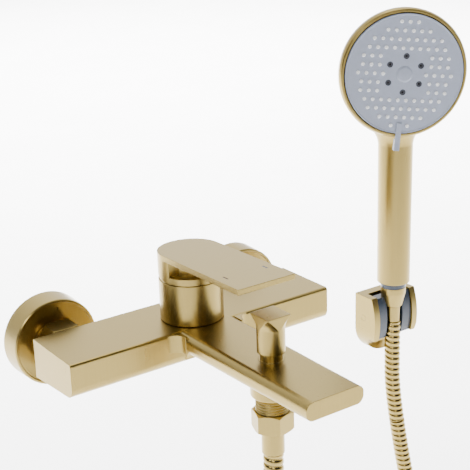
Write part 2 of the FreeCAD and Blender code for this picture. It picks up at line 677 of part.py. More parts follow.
def shower_outlet():
    """Threaded nipple under the spout with the nut, washer and crimped sleeve of the hose on it."""
    at = (0, -D.diverter_y, 0)
    major = D.outlet_thread_radius
    minor = major - 0.9
    top = D.seat_height - 2.6
    points = [(D.bore_radius, top), (major, top), (major, D.collar_bottom - 0.2)]
    crests = 7
    for crest in range(crests):
        z = D.collar_bottom - 0.2 - D.outlet_thread_pitch * crest
        points.append((minor, z - D.outlet_thread_pitch * 0.5))
        points.append((major, z - D.outlet_thread_pitch))
    points.append((minor, D.outlet_end))
    points.append((D.bore_radius, D.outlet_end))
    node("outlet_nipple", place(turned("Nipple", points), at))

    low = D.outlet_nut_top - D.outlet_nut_length
    washer_low = D.outlet_end - 2.0
    flange_low = washer_low - 1.6
    shoulder = flange_low - D.seat_gap - low
    stem = D.ferrule_radius - 1.0
    nut = hex_nut("OutletNut", D.outlet_nut_flats, D.outlet_nut_length, [
        (stem + D.running_gap, 0), (stem + D.running_gap, shoulder),
        (major + D.thread_clearance, shoulder), (major + D.thread_clearance, D.outlet_nut_length)])
    node("hose_nut", place(nut, (0, -D.diverter_y, low), (0, 0, 1), 12))
    node("hose_washer_lower", place(ring(
        "LowerWasher", D.bore_radius, major - 0.3, washer_low, D.outlet_end - D.seat_gap), at))
    node("hose_ferrule_lower", place(turned("LowerFerrule", [
        (3.4, D.ferrule_end), (D.ferrule_radius, D.ferrule_end), (D.ferrule_radius, low - 1.0),
        (D.ferrule_radius - 0.6, low - D.seam), (stem, low - D.seam), (stem, flange_low),
        (major - 0.6, flange_low), (major - 0.6, washer_low - D.seat_gap),
        (3.4, washer_low - D.seat_gap)]), at))


aerator()
shower_outlet()

# ---------------------------------------------------------------- hand shower


def on_hand_axis(item):
    """Puts a piece drawn from the foot of the grip on the hand shower's axis, facing its way."""
    return place(item, (D.hand_x, -D.hand_y, D.hand_z), (0, 0, 1), D.hand_turn)


def on_hose_end(item):
    """Puts a piece drawn in heights above the inlets on the hand shower's axis."""
    return place(item, (D.hand_x, -D.hand_y, 0))


def on_face_axis(item):
    """Puts a piece turned about Y on the axis of the spray face."""
    return place(item, (D.hand_x, -D.hand_y, D.hand_z + D.head_height), (0, 0, 1), D.hand_turn)


# Degrees by which the spray face is turned at rest, clockwise as its user sees it.
FACE_TURN = 5.5


def head_flare():
    """Trumpet that carries the grip into the rim of the head, no deeper than the head itself."""
    side = D.grip_top_radius - 0.2
    reach = D.head_radius + D.head_fillet
    drop = root(reach * reach - (side + D.head_fillet) * (side + D.head_fillet))
    low = D.head_height - drop
    touch_x = (side + D.head_fillet) * D.head_radius / reach
    touch_z = D.head_height - drop * D.head_radius / reach
    trumpet = turned("Trumpet", [
        (0, low - 4.0), (side, low - 4.0), (side, low), (touch_x, touch_z, -D.head_fillet), (0, touch_z)])
    slab = block("FlareSlab", (-touch_x - 1.0, -D.head_front + 3.0, low - 5.0),
                 (touch_x + 1.0, D.head_back - 1.5, touch_z + 1.0))
    return common("HeadFlare", trumpet, slab)


def jet_angle(number):
    """Angle of a massage jet on the face, in radians."""
    return math.radians(60 * number + 30 - FACE_TURN)


def face_point(x, drop):
    """Point of the face outline, from its middle: right and down, turned with the face."""
    turn = math.radians(FACE_TURN)
    return (x * math.cos(turn) - drop * math.sin(turn),
            D.head_height - x * math.sin(turn) - drop * math.cos(turn))


def hand_shower():
    """Grip and round head with the rotating spray face."""
    crown = D.head_height - D.head_radius / 2
    grip = turned("Grip", [
        (0, 0), (D.grip_low_radius - 0.5, 0), (D.grip_low_radius, 0.5), (D.grip_top_radius, crown),
        (0, crown)])
    bead = D.face_radius + D.face_gap
    head = place(turned("Head", [
        (0, D.head_back), (18.0, D.head_back - 1.0), (34.0, D.head_back - 6.5),
        (D.head_radius - 2.6, D.head_back - 18.5), (D.head_radius - 0.4, D.head_back - 26.0),
        (D.head_radius, -D.head_front + 3.0), (D.head_radius - 1.0, -D.head_front + 0.6),
        (bead + 1.4, -D.head_front), (bead, -D.head_front), (0, -D.head_front)][::-1], "y"),
        (0, 0, D.head_height))
    solid = fuse("HandSolid", grip, head, head_flare())
    wall = D.head_wall
    hollow = place(turned("HeadHollow", [
        (0, D.head_back - wall), (17.0, D.head_back - wall - 1.0), (32.0, D.head_back - wall - 6.0),
        (bead - 2.0, -D.head_front + 9.0), (bead, -D.head_front + 6.0), (bead, -D.head_front - 1),
        (0, -D.head_front - 1)][::-1], "y"), (0, 0, D.head_height))
    bore = rod("GripBore", D.nipple_radius + D.thread_clearance, -1, D.head_height)
    shell = cut("HandShell", solid, hollow, bore)
    node("handset_shell", on_hand_axis(shell))

    step = D.cone_top - D.hand_z
    nipple_end = step - 6.3
    nipple = turned("HandNipple", [
        (3.6, nipple_end), (D.nipple_radius, nipple_end), (D.nipple_radius, step),
        (D.cone_top_radius - 0.15, step), (D.cone_top_radius - 0.15, -0.05),
        (D.nipple_radius, -0.05), (D.nipple_radius, 20.0), (D.tube_radius + D.running_gap, 20.0),
        (D.tube_radius + D.running_gap, 14.0), (3.6, 14.0)])
    node("handset_nipple", on_hand_axis(nipple))

    tube_top = D.head_height - 1.0
    node("water_tube", on_hand_axis(ring("WaterTube", 3.6, D.tube_radius, 14.1, tube_top)))

    layer = -D.face_front + D.face_thickness
    disc_front = layer + 2.0
    disc_back = disc_front + 3.2
    hub_front = disc_back + 0.1
    hub = place(turned("Hub", [
        (2.1, hub_front), (38.0, hub_front), (38.0, hub_front + 2.2), (9.0, hub_front + 2.2),
        (9.0, 7.0), (0, 7.0), (0, -1.0), (2.1, -1.0)], "y"), (0, 0, D.head_height))
    tube_socket = rod("TubeSocket", D.tube_radius + D.running_gap, D.head_height - 11, D.head_height - 0.8)
    node("distributor", on_hand_axis(cut("Distributor", hub, tube_socket)))

    # spray face: everything here turns together on the head
    face = place(turned("Face", [
        (D.cap_radius + 0.1, -D.face_front), (D.face_radius - 0.6, -D.face_front),
        (D.face_radius, -D.face_front + 0.6), (D.face_radius, layer), (2.6, layer),
        (2.6, layer - 1.0), (D.cap_radius + 0.1, layer - 1.0)], "y"), (0, 0, D.head_height))
    jets = [place(rod("JetHole", D.jet_radius, layer - 6, layer + 1, (0, 0, 0), "y"), (
        D.jet_circle * math.cos(jet_angle(number)), layer - 6,
        D.head_height + D.jet_circle * math.sin(jet_angle(number))), (1, 0, 0), -90)
        for number in range(6)]
    node("spray_face", on_hand_axis(cut("SprayFace", face, *jets)))
    inserts = []
    for number in range(6):
        x = D.jet_circle * math.cos(jet_angle(number))
        z = D.head_height + D.jet_circle * math.sin(jet_angle(number))
        tip = ring("Jet", 0.9, D.jet_radius - D.running_gap, -D.face_front + 0.2, layer, "y")
        inserts.append(place(tip, (x, 0, z)))
    node("massage_jets", on_hand_axis(fuse("MassageJets", *inserts)))
    node("nozzle_mat", on_face_axis(ring("NozzleMat", 2.6, 41.0, layer + 0.05, disc_front - 0.05, "y")))
    node("selector_disc", on_face_axis(ring("SelectorDisc", 2.6, 38.0, disc_front, disc_back, "y")))
    cap = turned("Cap", [
        (0, -D.face_front - 0.9), (D.cap_radius - 1.4, -D.face_front - 0.7),
        (D.cap_radius, -D.face_front - 0.1), (D.cap_radius, layer - 1.05), (0, layer - 1.05)], "y")
    node("face_cap", on_face_axis(cap))
    screw = ring("FaceScrew", 0, 2.0, layer - 0.9, -D.tube_radius - 0.4, "y")
    node("face_screw", on_face_axis(screw))

    half = D.tab_width / 2
    low = D.head_radius + D.tab_reach
    high = D.head_radius + 0.8
    depth = 3.4
    rib = padded("TabRib", "XZ_Plane", [
        face_point(-half, low), face_point(half, low), face_point(half, D.tab_inner),
        face_point(-half, D.tab_inner)], 1.2, offset=D.face_front)
    hook = padded("TabHook", "XZ_Plane", [
        face_point(-half, low), face_point(half, low), face_point(half, high),
        face_point(-half, high)], depth, offset=D.face_front - depth)
    node("selector_tab", on_hand_axis(fuse("SelectorTab", rib, hook)))


def hose_end():
    """Conical nut, washer and sleeve at the hand shower's end of the hose."""
    nipple_end = D.cone_top - 6.3
    washer_low = nipple_end - 1.3
    flange_low = washer_low - 1.6
    bore = D.nipple_radius + D.thread_clearance
    stem = D.cone_low_radius - 2.3
    top = D.cone_top - 0.1
    node("cone_nut", on_hose_end(turned("ConeNut", [
        (bore, top), (D.cone_top_radius, top), (D.cone_top_radius - 0.15, D.cone_shoulder),
        (D.cone_low_radius + 0.1, D.cone_low + 0.8),
        (D.cone_low_radius - 0.6, D.cone_low), (stem + D.running_gap, D.cone_low),
        (stem + D.running_gap, flange_low - D.seat_gap), (bore, flange_low - D.seat_gap)])))
    node("hose_washer_upper", on_hose_end(ring(
        "UpperWasher", 3.6, D.nipple_radius - 0.1, washer_low, nipple_end - D.seat_gap)))
    node("hose_ferrule_upper", on_hose_end(turned("UpperFerrule", [
        (2.8, D.top_ferrule_end), (D.top_ferrule_radius - 0.5, D.top_ferrule_end),
        (D.top_ferrule_radius, D.cone_low - D.seam), (stem, D.cone_low - D.seam), (stem, flange_low),
        (D.nipple_radius - 0.1, flange_low), (D.nipple_radius - 0.1, washer_low - D.seat_gap),
        (2.8, washer_low - D.seat_gap)])))


hand_shower()
hose_end()

# ---------------------------------------------------------------- wall holder


def side_profile(label, front_top, front_low, top, low, back, half):
    """Holder part as seen from its side: flat back, gently bulging front; padded across the holder."""
    return place(padded(label, "YZ_Plane", [
        (-back, low), (-back, top), (-front_top, top), (-front_low, low, D.base_bulge)],
        2 * half, midplane=True), (D.hand_x, 0, 0))


def holder_cradle():
    """Fork that takes the cone nut: open in front for the hose, tilting on two pivots."""
    pivot = (D.hand_x, -D.pivot_y, D.pivot_z)
    solid = side_profile("CradleSolid", D.cradle_front, D.cradle_front + 1.4, D.cradle_top,
                         D.cradle_low, D.cradle_back, D.cradle_half)
    half = D.slot_width / 2
    clearance = D.seat_clearance
    slope = (D.cone_top_radius - D.cone_low_radius) / (D.cone_shoulder - D.cone_low)
    seat_top = D.cradle_top + 1.0
    seat_radius = D.cone_low_radius + clearance + slope * (seat_top - D.cone_low)
    bridge_room = block("BridgeRoom", (D.hand_x - D.cradle_half - 1.0, -11.5, D.cradle_top - 2.8),
                        (D.hand_x + D.cradle_half + 1.0, 0, D.cradle_top + 1.0))
    seat = on_hose_end(turned("Seat", [
        (0, D.cradle_low - 1), (half, D.cradle_low - 1),
        (half, D.cone_low + (half - D.cone_low_radius - clearance) / slope),
        (seat_radius, seat_top), (0, seat_top)]))
    slot = block("HoseSlot", (D.hand_x - half, -D.hand_y - 20.0, D.cradle_low - 1),
                 (D.hand_x + half, -D.hand_y, D.cradle_top + 1))
    holes = [rod("PivotHole", D.pivot_radius + D.running_gap,
                 *sorted_pair((D.cradle_half + 1) * side, (half + 1.2) * side), pivot, "x")
             for side in (-1, 1)]
    heels = []
    for edge, way in ((D.cradle_top, 1), (D.cradle_low, -1)):
        heels.append(place(padded("Heel", "YZ_Plane", [
            (-D.cradle_back + 0.5, D.pivot_z + 7.0 * way), (-D.cradle_back - 4.0, edge + 0.5 * way),
            (-D.cradle_back + 0.5, edge + 0.5 * way)], 2 * D.cradle_half + 2, midplane=True),
            (D.hand_x, 0, 0)))
    node("holder_cradle", cut("Cradle", solid, seat, slot, bridge_room, *holes, *heels))


def wall_holder():
    """Base with two cheeks for the cradle, on a plate that is screwed to the wall."""
    pivot = (D.hand_x, -D.pivot_y, D.pivot_z)
    shield = place(padded("Shield", "XZ_Plane", [
        (-D.base_half, D.base_low + D.base_half), (0, D.base_low, D.base_half),
        (D.base_half, D.base_low + D.base_half, D.base_half), (D.base_half, D.base_top),
        (-D.base_half, D.base_top)], 40.0), (D.hand_x, 0, 0))
    profile = side_profile("BaseProfile", D.base_front_top, D.base_front_low, D.base_top,
                           D.base_low, 0, D.base_half + 1)
    inner = D.cradle_half + D.side_gap
    floor = D.cradle_low - D.tilt_room
    pocket = block("CradlePocket", (D.hand_x - inner, -40.0, floor),
                   (D.hand_x + inner, -D.plate_recess, D.base_top - D.bridge))
    mouth = block("NutMouth", (D.hand_x - inner, -40.0, D.base_top - D.bridge - 1.0),
                  (D.hand_x + inner, -8.4, D.base_top + 1.0))
    chin = place(padded("Chin", "YZ_Plane", [
        (-40.0, floor + 3.2), (-14.5, floor + 3.2), (-9.0, floor - 4.6), (-9.0, D.base_low - 1.0),
        (-40.0, D.base_low - 1.0)][::-1], 2 * D.base_half + 2, midplane=True), (D.hand_x, 0, 0))
    groove = rod("HoseGroove", D.hose_radius + D.groove_clearance, D.base_low - 1, D.cradle_low,
                 (D.hand_x, -D.hand_y - 1.0, 0))
    plate_half = 12.0
    plate_top = D.base_top - 9.0
    plate_low = D.base_low + 4.0
    recess = block("PlateRecess", (D.hand_x - plate_half - 0.2, -D.plate_recess, plate_low - 0.2),
                   (D.hand_x + plate_half + 0.2, 1.0, plate_top + 0.2))
    lug_top = plate_low + 5.0
    lug_front = -D.back_plate - 4.0
    lug_pocket = block("LugPocket", (D.hand_x - 4.2, lug_front - 0.2, plate_low - 0.2),
                       (D.hand_x + 4.2, 0, lug_top + 0.2))
    grub_y = (lug_front - D.back_plate) / 2
    grub = (D.hand_x, grub_y, 0)
    tools = [pocket, mouth, chin, groove, recess, lug_pocket,
             rod("GrubHole", 1.5 + D.running_gap, D.base_low - 1, plate_low, grub)]
    tools += [rod("PivotBore", D.pivot_radius + D.running_gap,
                  *sorted_pair((inner - 1) * side, (D.base_half + 1) * side), pivot, "x") for side in (-1, 1)]
    node("holder_base", cut("HolderBase", common("BaseSolid", shield, profile), *tools))
    node("holder_grub_screw", rod("Grub", 1.5, D.base_low + 0.6, plate_low - D.seat_gap, grub))
    node("holder_pivots", fuse("Pivots", *[
        rod("Pivot", D.pivot_radius, *sorted_pair((D.slot_width / 2 + 1.6) * side, D.base_half * side),
            pivot, "x") for side in (-1, 1)]))

    back = fuse("BackPlateSolid", block(
        "BackPlate", (D.hand_x - plate_half, -D.back_plate, plate_low),
        (D.hand_x + plate_half, 0, plate_top)), block(
        "Lug", (D.hand_x - 4.0, lug_front, plate_low), (D.hand_x + 4.0, 0, lug_top)))
    sinks = [place(turned("Sink", [
        (0, -D.back_plate - 5.0), (D.screw_head_radius, -D.back_plate - 5.0),
        (D.screw_head_radius, -D.back_plate), (D.screw_hole_radius, -0.9), (D.screw_hole_radius, 1.0),
        (0, 1.0)], "y"), (D.hand_x, 0, D.screw_low_z + D.screw_pitch * number)) for number in range(2)]
    node("holder_plate", cut("HolderPlate", back, *sinks))


holder_cradle()
wall_holder()

# ---------------------------------------------------------------- hose

# Route of the hose's middle line, from the outlet under the spout, down and round a hanging loop, to
# the hand shower. The last points, above the split, belong to the short length that follows the nut.
HOSE_ROUTE = [
    (0, -150.6, -47), (0, -150.6, -78), (-8, -152, -126), (-25, -156, -186), (-41, -158, -248),
    (-50, -157, -312), (-47, -153, -374), (-30, -145, -430), (6, -133, -474), (53, -118, -500),
    (105, -101, -508), (156, -84, -499), (200, -68, -470), (233, -54, -425), (250, -42, -371),
    (252, -34, -311), (243, -28.5, -253), (230.6, -24, -200), (224.4, -21.2, -154)]
HOSE_TOP_ROUTE = [
    (224.36, -21.18, -153.7), (220.4, -19.4, -124), (219.6, -19.5, -94), (219.6, -19.5, -63.5)]


def tube(name, route, radius):
    """Round tube along straight runs joined by tangent arcs, each as large as its two runs allow."""
    points = [V(*point) for point in route]
    edges = []
    last = points[0]
    radii = []
    for before, corner, after in zip(points, points[1:], points[2:]):
        back = (before - corner)
        ahead = (after - corner)
        half_turn = (math.pi - back.getAngle(ahead)) / 2
        reach = 0.45 * min(back.Length, ahead.Length)
        radii.append(reach / math.tan(half_turn))
        start = corner + back.normalize() * reach
        end = corner + ahead.normalize() * reach
        inward = (back + ahead).normalize()
        peak = corner + inward * (radii[-1] / math.cos(half_turn) - radii[-1])
        edges.append(Part.LineSegment(last, start).toShape())
        edges.append(Part.Arc(start, peak, end).toShape())
        last = end
    edges.append(Part.LineSegment(last, points[-1]).toShape())
    path = Part.Wire(edges)
    section = Part.Wire(Part.makeCircle(radius, points[0], points[1] - points[0]))
    solid = path.makePipeShell([section], True, False)
    item = doc.addObject("Part::Feature", name)
    item.Shape = solid
    print(name, "length %.1f" % path.Length, "volume ratio %.4f" % (
        solid.Volume / (math.pi * radius * radius * path.Length)),
        "radii", " ".join("%.0f" % one for one in radii))
    return node(name, item)


tube("hose", HOSE_ROUTE, number_of(D.hose_radius))
tube("hose_top", HOSE_TOP_ROUTE, number_of(D.hose_radius))

# ---------------------------------------------------------------- checks and export

doc.recompute()
for item in doc.Objects:
    if "Invalid" in item.State or "Error" in item.State:
        raise RuntimeError("%s (%s) failed: %s" % (item.Name, item.Label, item.State))
for item in NODES:
    if item.Shape.isNull() or not item.Shape.isValid() or not item.Shape.Solids:
        raise RuntimeError("%s has no valid solid" % item.Label)
for item in NODES:
    item.Shape.exportStep("parts/%s.step" % item.Label)
print(len(NODES), "nodes")
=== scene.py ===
"""Looks of a wall mounted bath mixer with hand shower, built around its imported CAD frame."""

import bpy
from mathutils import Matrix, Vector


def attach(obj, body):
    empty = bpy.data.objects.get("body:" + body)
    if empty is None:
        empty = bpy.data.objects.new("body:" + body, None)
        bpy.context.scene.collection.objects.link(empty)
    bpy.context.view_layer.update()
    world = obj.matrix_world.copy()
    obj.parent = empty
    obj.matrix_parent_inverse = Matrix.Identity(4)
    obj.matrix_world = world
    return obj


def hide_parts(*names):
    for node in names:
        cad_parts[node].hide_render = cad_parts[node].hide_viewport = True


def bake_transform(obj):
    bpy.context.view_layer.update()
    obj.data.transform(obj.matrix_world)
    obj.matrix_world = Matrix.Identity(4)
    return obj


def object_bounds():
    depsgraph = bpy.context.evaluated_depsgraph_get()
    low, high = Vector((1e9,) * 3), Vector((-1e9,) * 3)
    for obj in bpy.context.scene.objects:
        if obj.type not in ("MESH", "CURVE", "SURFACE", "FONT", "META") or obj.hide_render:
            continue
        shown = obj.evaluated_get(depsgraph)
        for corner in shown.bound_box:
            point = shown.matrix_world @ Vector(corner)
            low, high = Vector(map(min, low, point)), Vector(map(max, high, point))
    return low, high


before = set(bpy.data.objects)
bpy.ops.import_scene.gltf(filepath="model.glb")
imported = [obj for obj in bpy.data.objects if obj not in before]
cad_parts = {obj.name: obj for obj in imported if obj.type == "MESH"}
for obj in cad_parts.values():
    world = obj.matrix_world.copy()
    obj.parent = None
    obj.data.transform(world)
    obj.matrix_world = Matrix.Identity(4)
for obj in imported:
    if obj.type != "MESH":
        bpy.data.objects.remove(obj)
CAD_BOX = [list(corner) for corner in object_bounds()]

import math

import bmesh
import bpy
from mathutils import Matrix, Vector

bl_info = {
    "name": "Bath Mixer Looks",
    "version": (1, 0, 0),
    "blender": (4, 5, 0),
    "location": "View3D > Sidebar > Bath Mixer",
    "description": "Finishes, hoses and spray face of a wall mounted bath mixer",
    "category": "Object",
}

MM = 0.001

# The hand shower at rest: its turn in the holder, the face's turn on it, and where the face is.
HAND_TURN = math.radians(-28.5)
FACE_TURN = math.radians(5.5)
HAND_AXIS = Vector((0.2196, -0.0195, 0))
FACE_CENTRE = HAND_AXIS + Vector((0, 0, 0.14135))
FACE_FRONT = 23.2 * MM

# Rows of nozzles from the top, by their number; the split rows leave room for the massage jets.
NOZZLE_ROWS = (3, 6, 9, 10, 6, 6, 8, 6, 6, 10, 9, 6, 3)
SPLIT_ROWS = range(4, 9)
SPLIT_END = {6: 31.9 * MM, 8: 35.0 * MM}
NOZZLE_SIDES = 12
# Rim round the spray face: radius, radius of its section and its share in depth, and steps.
RIM_RADIUS = 43.7 * MM
RIM_SECTION = 0.55 * MM
RIM_DEPTH = 0.5
RIM_STEPS = 96
RIM_SIDES = 10

# Wound hose: points along one turn of the strip, and round the tube.
TURN_POINTS = 10
HOSE_SIDES = 24
CURVE_STEPS = 24

# Grain of a finish: how far it changes the roughness, and how high it is.
ROUGHNESS_SPREAD = 0.2
METAL_TONE_SPREAD = 0.07
PLASTIC_TONE_SPREAD = 0.06
METAL_BUMP = 0.06
GRAIN_HEIGHT = 0.1 * MM
EDGE_SAMPLES = 6

# Stage: the camera, the floor under the lowest piece, and the surroundings, dark to bright.
CAMERA_PLACE = (-0.37065, -0.65191, 0.30912)
SENSOR_WIDTH = 36.0
VIEW_DEPTH = 50.0
FLOOR_HALF = 9
FLOOR_GAP = 4 * MM
DARK_END = 0.35
BRIGHT_START = 0.9
DARK_ROOM = (0.02, 0.018, 0.016, 1)
BRIGHT_ROOM = (1.0, 1.0, 1.0, 1)
LIT_POINT = Vector((0.08, -0.1, 0.0))
BACKDROP_PLACE = (1.9, 3.3, 2.3)
BACKDROP_POINT = Vector((1.9, 3.3, 0))


# ---------------------------------------------------------------- settings

def colour(name, text, default):
    """Colour property with its description."""
    return bpy.props.FloatVectorProperty(
        name=name, description=text, default=default, subtype="COLOR", size=3, min=0, max=1)


def length(name, text, default):
    """Length property in metres."""
    return bpy.props.FloatProperty(
        name=name, description=text, default=default, unit="LENGTH", subtype="DISTANCE", min=0,
        precision=5)


def share(name, text, default):
    """Plain number from 0 to 1."""
    return bpy.props.FloatProperty(
        name=name, description=text, default=default, subtype="FACTOR", min=0, max=1)


def power(name, text, default):
    """Strength of a light."""
    return bpy.props.FloatProperty(name=name, description=text, default=default, min=0)


class MIXER_PG_finish(bpy.types.PropertyGroup):
    """Colours and gloss of the pieces."""

    gold: colour("Gold", "Brushed champagne gold of the visible metal", (0.36, 0.268, 0.088))
    gold_roughness: share("Gold roughness", "Blur of reflections in the brushed gold", 0.30)
    brass: colour("Brass", "Turned, unplated brass", (0.70, 0.50, 0.20))
    steel: colour("Steel", "Screws, springs and plates", (0.55, 0.55, 0.55))
    slate: colour("Slate", "Polished slate plastic of the cradle", (0.032, 0.044, 0.066))
    face_grey: colour("Face grey", "Bluish grey spray face", (0.33, 0.365, 0.46))
    nozzle: colour("Nozzles", "Pale soft spray nozzles", (0.97, 0.98, 1.0))
    dark: colour("Dark grey", "Massage jets", (0.035, 0.038, 0.05))
    rubber: colour("Rubber", "Washers and seals", (0.03, 0.03, 0.03))
    ceramic: colour("Ceramic", "Cartridge discs", (0.85, 0.85, 0.82))
    white: colour("White plastic", "Moulded inner parts", (0.80, 0.80, 0.77))
    hot: colour("Hot mark", "Filled mark for hot", (0.04, 0.008, 0.008))
    cold: colour("Cold mark", "Filled mark for cold", (0.10, 0.13, 0.19))


class MIXER_PG_hose(bpy.types.PropertyGroup):
    """Sizes of the shower hose."""

    radius: length("Radius", "Outer radius of the wound hose", 6.5 * MM)
    pitch: length("Pitch", "Length of one turn of the wound strip", 4.8 * MM)
    groove: length("Groove", "Depth of the groove between two turns", 1.5 * MM)


class MIXER_PG_spray(bpy.types.PropertyGroup):
    """Sizes of the spray face."""

    nozzle_radius: length("Nozzle radius", "Foot radius of a soft nozzle", 1.45 * MM)
    nozzle_height: length("Nozzle height", "How far a nozzle stands out of the face", 0.9 * MM)
    column: length("Column", "Distance between two nozzles of a row", 6.28 * MM)
    row: length("Row", "Distance between two rows", 6.4 * MM)


class MIXER_PG_stage(bpy.types.PropertyGroup):
    """Camera, light and floor."""

    azimuth: bpy.props.FloatProperty(
        name="Azimuth", description="Camera's turn about Z", default=math.radians(-34.7), subtype="ANGLE")
    elevation: bpy.props.FloatProperty(
        name="Elevation", description="Camera's height angle", default=math.radians(19.07), subtype="ANGLE")
    roll: bpy.props.FloatProperty(
        name="Roll", description="Camera's roll", default=math.radians(-1.8), subtype="ANGLE")
    lens: bpy.props.FloatProperty(
        name="Lens", description="Focal length", default=88.16, subtype="DISTANCE_CAMERA")
    floor: colour("Floor", "Plain pale floor", (0.97, 0.97, 0.97))
    key: power("Key light", "Softbox at the upper left", 13)
    top: power("Top light", "Softbox overhead", 10)
    fill: power("Fill light", "Soft light from the camera's side", 8)
    backdrop: power("Backdrop light", "Wide light over the floor behind the object", 1700)
    sky: power("Sky", "Strength of the surroundings", 2.3)


# ---------------------------------------------------------------- helpers

def link(data, name):
    """New object in the scene."""
    thing = bpy.data.objects.new(name, data)
    bpy.context.scene.collection.objects.link(thing)
    return thing


def skin(shape, rings):
    """Faces between each ring of points and the next."""
    for low, high in zip(rings, rings[1:]):
        for step in range(len(low)):
            after = (step + 1) % len(low)
            shape.faces.new((low[step], low[after], high[after], high[step]))


def finish_mesh(shape, name, material, smooth=True):
    """Turns a bmesh into a scene object."""
    bmesh.ops.recalc_face_normals(shape, faces=shape.faces)
    data = bpy.data.meshes.new(name)
    shape.to_mesh(data)
    shape.free()
    for face in data.polygons:
        face.use_smooth = smooth
    thing = link(data, name)
    thing.data.materials.append(material)
    return thing


def new_material(name, base, metallic=0.0, roughness=0.5, coat=0.0):
    """Material with its Principled shader and node tree."""
    made = bpy.data.materials.new(name)
    made.use_nodes = True
    shader = made.node_tree.nodes["Principled BSDF"]
    shader.inputs["Base Color"].default_value = (*base, 1)
    shader.inputs["Metallic"].default_value = metallic
    shader.inputs["Roughness"].default_value = roughness
    shader.inputs["Coat Weight"].default_value = coat
    return made, made.node_tree, shader


def tone_and_bump(tree, shader, grain, base, spread, strength):
    """Lets a grain change the shader's colour and height; returns the bump's node."""
    tone = tree.nodes.new("ShaderNodeMix")
    tone.data_type = "RGBA"
    tone.inputs[6].default_value = (*[value * (1 - spread) for value in base], 1)
    tone.inputs[7].default_value = (*[min(value * (1 + spread), 1) for value in base], 1)
    tree.links.new(grain.outputs["Fac"], tone.inputs[0])
    tree.links.new(tone.outputs[2], shader.inputs["Base Color"])
    bump = tree.nodes.new("ShaderNodeBump")
    bump.inputs["Strength"].default_value = strength
    bump.inputs["Distance"].default_value = GRAIN_HEIGHT
    tree.links.new(grain.outputs["Fac"], bump.inputs["Height"])
    tree.links.new(bump.outputs["Normal"], shader.inputs["Normal"])
    return bump


def brushed(name, base, roughness, stretch=(1, 1, 0.04), scale=900.0, edge=0.6 * MM):
    """Brushed metal: fine stretched grain in roughness, tone and height, with softened edges."""
    made, tree, shader = new_material(name, base, 1.0, roughness)
    place = tree.nodes.new("ShaderNodeTexCoord")
    mapping = tree.nodes.new("ShaderNodeMapping")
    mapping.inputs["Scale"].default_value = stretch
    grain = tree.nodes.new("ShaderNodeTexNoise")
    grain.inputs["Scale"].default_value = scale
    grain.inputs["Detail"].default_value = 3.0
    tree.links.new(place.outputs["Object"], mapping.inputs["Vector"])
    tree.links.new(mapping.outputs["Vector"], grain.inputs["Vector"])
    blur = tree.nodes.new("ShaderNodeMapRange")
    blur.inputs["To Min"].default_value = roughness * (1 - ROUGHNESS_SPREAD)
    blur.inputs["To Max"].default_value = roughness * (1 + ROUGHNESS_SPREAD)
    tree.links.new(grain.outputs["Fac"], blur.inputs["Value"])
    tree.links.new(blur.outputs["Result"], shader.inputs["Roughness"])
    bump = tone_and_bump(tree, shader, grain, base, METAL_TONE_SPREAD, METAL_BUMP)
    if edge:
        soft = tree.nodes.new("ShaderNodeBevel")
        soft.samples = EDGE_SAMPLES
        soft.inputs["Radius"].default_value = edge
        tree.links.new(soft.outputs["Normal"], bump.inputs["Normal"])
    return made


def moulded(name, base, roughness, grain_size=400.0, depth=0.05, coat=0.0):
    """Plastic, rubber or ceramic: plain colour with slight unevenness in tone and height."""
    made, tree, shader = new_material(name, base, 0.0, roughness, coat)
    place = tree.nodes.new("ShaderNodeTexCoord")
    grain = tree.nodes.new("ShaderNodeTexNoise")
    grain.inputs["Scale"].default_value = grain_size
    tree.links.new(place.outputs["Object"], grain.inputs["Vector"])
    tone_and_bump(tree, shader, grain, base, PLASTIC_TONE_SPREAD, depth)
    return made


def paint(material, slot, *names):
    """Gives CAD nodes a material."""
    for name in names:
        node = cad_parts[name]
        node.data.materials.clear()
        node.data.materials.append(material)


def found_material(name):
    """A material made by an earlier operator."""
    made = bpy.data.materials.get(name)
    if made is None:
        raise RuntimeError("material %s has not been made yet" % name)
    return made


# ---------------------------------------------------------------- hose

HOSE_MM = (
    (0, -150.6, -47), (0, -150.6, -78), (-8, -152, -126), (-25, -156, -186), (-41, -158, -248),
    (-50, -157, -312), (-47, -153, -374), (-30, -145, -430), (6, -133, -474), (53, -118, -500),
    (105, -101, -508), (156, -84, -499), (200, -68, -470), (233, -54, -425), (250, -42, -371),
    (252, -34, -311), (243, -28.5, -253), (230.6, -24, -200), (224.4, -21.2, -154))
HOSE_TOP_MM = (
    (224.36, -21.18, -153.7), (220.4, -19.4, -124), (219.6, -19.5, -94), (219.6, -19.5, -63.5))


def hose_line(name, route):
    """Points along a NURBS curve through the hose's control points, read from the curve itself."""
    data = bpy.data.curves.new(name, "CURVE")
    data.dimensions = "3D"
    data.resolution_u = CURVE_STEPS
    spline = data.splines.new("NURBS")
    spline.points.add(len(route) - 1)
    for point, place in zip(spline.points, route):
        point.co = (*[value * MM for value in place], 1)
    spline.order_u = 3
    spline.use_endpoint_u = True
    curve = link(data, name)
    bpy.context.view_layer.update()
    mesh = bpy.data.meshes.new_from_object(curve)
    line = [vertex.co.copy() for vertex in mesh.vertices]
    bpy.data.meshes.remove(mesh)
    bpy.data.objects.remove(curve)
    bpy.data.curves.remove(data)
    return line


def resample(line, step):
    """Points at an even distance along a line, its ends among them."""
    lengths = [0.0]
    for before, after in zip(line, line[1:]):
        lengths.append(lengths[-1] + (after - before).length)
    count = max(2, round(lengths[-1] / step))
    points, index = [], 0
    for number in range(count + 1):
        goal = lengths[-1] * number / count
        while index < len(line) - 2 and lengths[index + 1] < goal:
            index += 1
        part = (goal - lengths[index]) / max(lengths[index + 1] - lengths[index], 1e-9)
        points.append(line[index].lerp(line[index + 1], min(max(part, 0), 1)))
    return points, lengths[-1]


